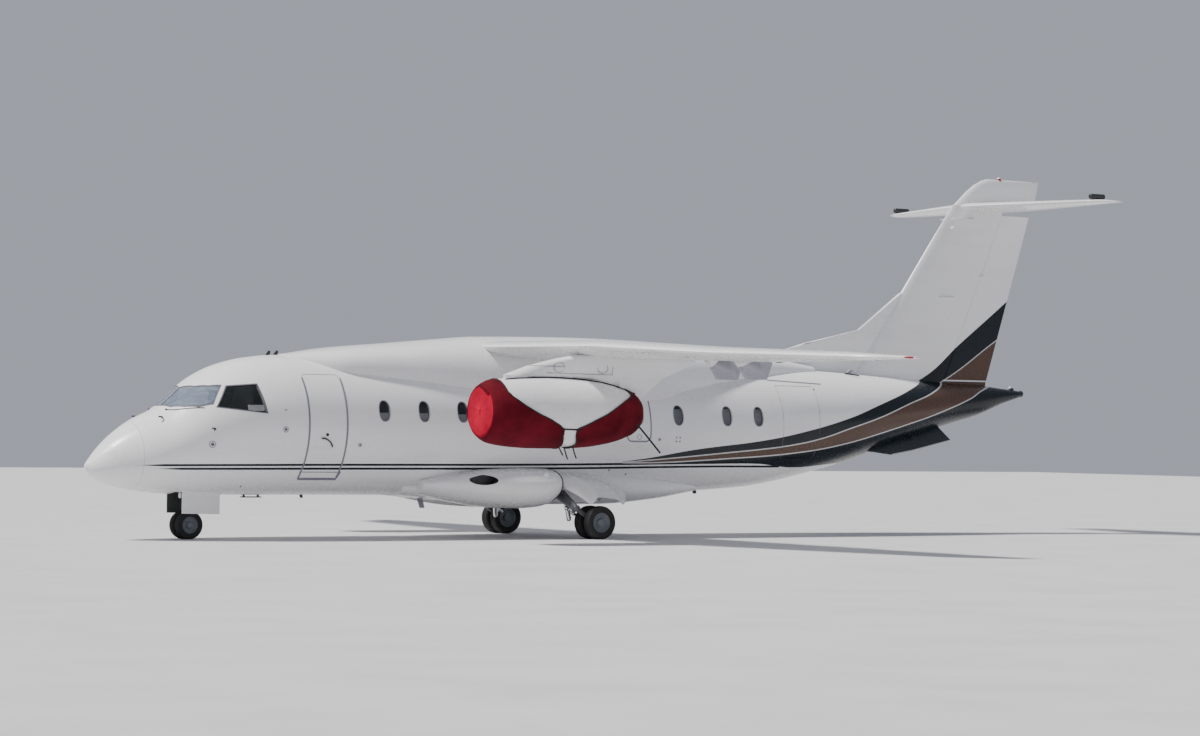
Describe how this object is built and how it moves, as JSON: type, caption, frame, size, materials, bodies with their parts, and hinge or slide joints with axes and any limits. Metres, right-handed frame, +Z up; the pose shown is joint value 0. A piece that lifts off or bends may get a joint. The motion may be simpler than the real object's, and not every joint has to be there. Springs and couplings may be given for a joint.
{
  "type": "twin-jet regional airliner",
  "caption": "High-wing regional jet airliner with a T-tail and underwing engines under red covers, parked on its gear; doors, flaps, control surfaces and wheels move.",
  "frame": {"origin": "on the ground under the middle of the overall length, in the plane of symmetry", "axes": "+X aft along the fuselage, +Y to starboard, +Z up; the nose points to -X and port is -Y"},
  "size_m": [21.28, 20.98, 7.24],
  "materials": {
    "gloss_white": "gloss",
    "underside_grey": "satin",
    "dark_navy": "gloss",
    "cover_red": "matte",
    "tyre_black": "matte",
    "bare_metal": "satin",
    "cabin_glass": "gloss",
    "cabin_grey": "matte"
  },
  "bodies": {
    "airframe": {"fuselage": "gloss_white", "radome": "gloss_white", "wing_root_fairing": "gloss_white", "wing": "gloss_white", "fin": "gloss_white", "fin_tip": "gloss_white", "tailplane": "gloss_white", "nose_leg": "gloss_white", "nacelle_left": "gloss_white", "pylon_left": "gloss_white", "main_gear_door_left": "gloss_white", "nose_gear_door_left": "gloss_white", "main_leg_left": "gloss_white", "windshield_left": "cabin_glass", "side_window_left": "cabin_glass", "intake_cover_left": "cover_red", "exhaust_cover_left": "cover_red", "engine_left": "bare_metal", "ventral_fin_left": "dark_navy", "nacelle_right": "gloss_white", "pylon_right": "gloss_white", "main_gear_door_right": "gloss_white", "nose_gear_door_right": "gloss_white", "main_leg_right": "gloss_white", "windshield_right": "cabin_glass", "side_window_right": "cabin_glass", "intake_cover_right": "cover_red", "exhaust_cover_right": "cover_red", "engine_right": "bare_metal", "ventral_fin_right": "dark_navy", "tail_cone": "dark_navy", "belly_fairing": "underside_grey", "instrument_panel": "cabin_grey", "pilot_seats": "cabin_grey"},
    "nose_steering_fork": {"nose_fork": "bare_metal"},
    "nose_wheel_pair": {"nose_wheels": "bare_metal", "nose_tyre_left": "tyre_black", "nose_tyre_right": "tyre_black"},
    "rudder": {"rudder": "gloss_white"},
    "passenger_door": {"passenger_door": "gloss_white"},
    "baggage_door": {"baggage_door": "gloss_white"},
    "main_wheel_pair_left": {"main_wheels_left": "bare_metal", "main_tyre_outer_left": "tyre_black", "main_tyre_inner_left": "tyre_black"},
    "elevator_left": {"elevator_left": "gloss_white"},
    "aileron_left": {"aileron_left": "gloss_white"},
    "flap_inner_left": {"flap_inner_left": "gloss_white"},
    "flap_outer_left": {"flap_outer_left": "gloss_white"},
    "main_wheel_pair_right": {"main_wheels_right": "bare_metal", "main_tyre_outer_right": "tyre_black", "main_tyre_inner_right": "tyre_black"},
    "elevator_right": {"elevator_right": "gloss_white"},
    "aileron_right": {"aileron_right": "gloss_white"},
    "flap_inner_right": {"flap_inner_right": "gloss_white"},
    "flap_outer_right": {"flap_outer_right": "gloss_white"}
  },
  "joints": [
    {"name": "nose_steering", "type": "hinge", "parent": "airframe", "child": "nose_steering_fork", "pos_m": [-8.71, 0, 0.64], "axis": [0, 0, 1], "range_deg": [-60, 60]},
    {"name": "nose_wheel_spin", "type": "hinge", "parent": "nose_steering_fork", "child": "nose_wheel_pair", "pos_m": [-8.71, 0, 0.2475], "axis": [0, 1, 0], "continuous": true},
    {"name": "main_wheel_spin_left", "type": "hinge", "parent": "airframe", "child": "main_wheel_pair_left", "pos_m": [-1.26, -1.61, 0.305], "axis": [0, 1, 0], "continuous": true},
    {"name": "main_wheel_spin_right", "type": "hinge", "parent": "airframe", "child": "main_wheel_pair_right", "pos_m": [-1.26, 1.61, 0.305], "axis": [0, 1, 0], "continuous": true},
    {"name": "rudder_turn", "type": "hinge", "parent": "airframe", "child": "rudder", "pos_m": [8.13122, 0, 3.085], "axis": [0.4094, 0, 0.9124], "range_deg": [-25, 25]},
    {"name": "elevator_turn_left", "type": "hinge", "parent": "airframe", "child": "elevator_left", "pos_m": [9.76, -0.34, 6.6], "axis": [0, 1, 0], "range_deg": [-25, 15]},
    {"name": "elevator_turn_right", "type": "hinge", "parent": "airframe", "child": "elevator_right", "pos_m": [9.76, 0.34, 6.6], "axis": [0, 1, 0], "range_deg": [-25, 15]},
    {"name": "aileron_turn_left", "type": "hinge", "parent": "airframe", "child": "aileron_left", "pos_m": [-1.2, -6.76, 3.22984], "axis": [0, 1, 0.004], "range_deg": [-20, 20]},
    {"name": "aileron_turn_right", "type": "hinge", "parent": "airframe", "child": "aileron_right", "pos_m": [-1.2, 6.76, 3.22984], "axis": [0, 1, -0.004], "range_deg": [-20, 20]},
    {"name": "flap_inner_turn_left", "type": "hinge", "parent": "airframe", "child": "flap_inner_left", "pos_m": [-1.432, -1.2, 3.28289], "axis": [0, 1, 0.0069], "range_deg": [0, 35]},
    {"name": "flap_inner_turn_right", "type": "hinge", "parent": "airframe", "child": "flap_inner_right", "pos_m": [-1.432, 1.2, 3.28289], "axis": [0, 1, -0.0069], "range_deg": [0, 35]},
    {"name": "flap_outer_turn_left", "type": "hinge", "parent": "airframe", "child": "flap_outer_left", "pos_m": [-1.432, -3.79, 3.26502], "axis": [0, 0.9997, 0.0234], "range_deg": [0, 35]},
    {"name": "flap_outer_turn_right", "type": "hinge", "parent": "airframe", "child": "flap_outer_right", "pos_m": [-1.432, 3.79, 3.26502], "axis": [0, 0.9997, -0.0234], "range_deg": [0, 35]},
    {"name": "passenger_door_swing", "type": "hinge", "parent": "airframe", "child": "passenger_door", "pos_m": [-6.585, -0.83, 1.116], "axis": [1, 0, 0], "range_deg": [0, 115]},
    {"name": "baggage_door_swing", "type": "hinge", "parent": "airframe", "child": "baggage_door", "pos_m": [3.3205, -0.86641, 2.844], "axis": [-0.9991, -0.0413, 0], "range_deg": [0, 95]}
  ],
  "couplings": [
    {"joint": "elevator_turn_right", "follows": "elevator_turn_left", "ratio": 1},
    {"joint": "aileron_turn_right", "follows": "aileron_turn_left", "ratio": -1},
    {"joint": "flap_inner_turn_right", "follows": "flap_inner_turn_left", "ratio": 1},
    {"joint": "flap_outer_turn_left", "follows": "flap_inner_turn_left", "ratio": 1},
    {"joint": "flap_outer_turn_right", "follows": "flap_inner_turn_left", "ratio": 1}
  ]
}
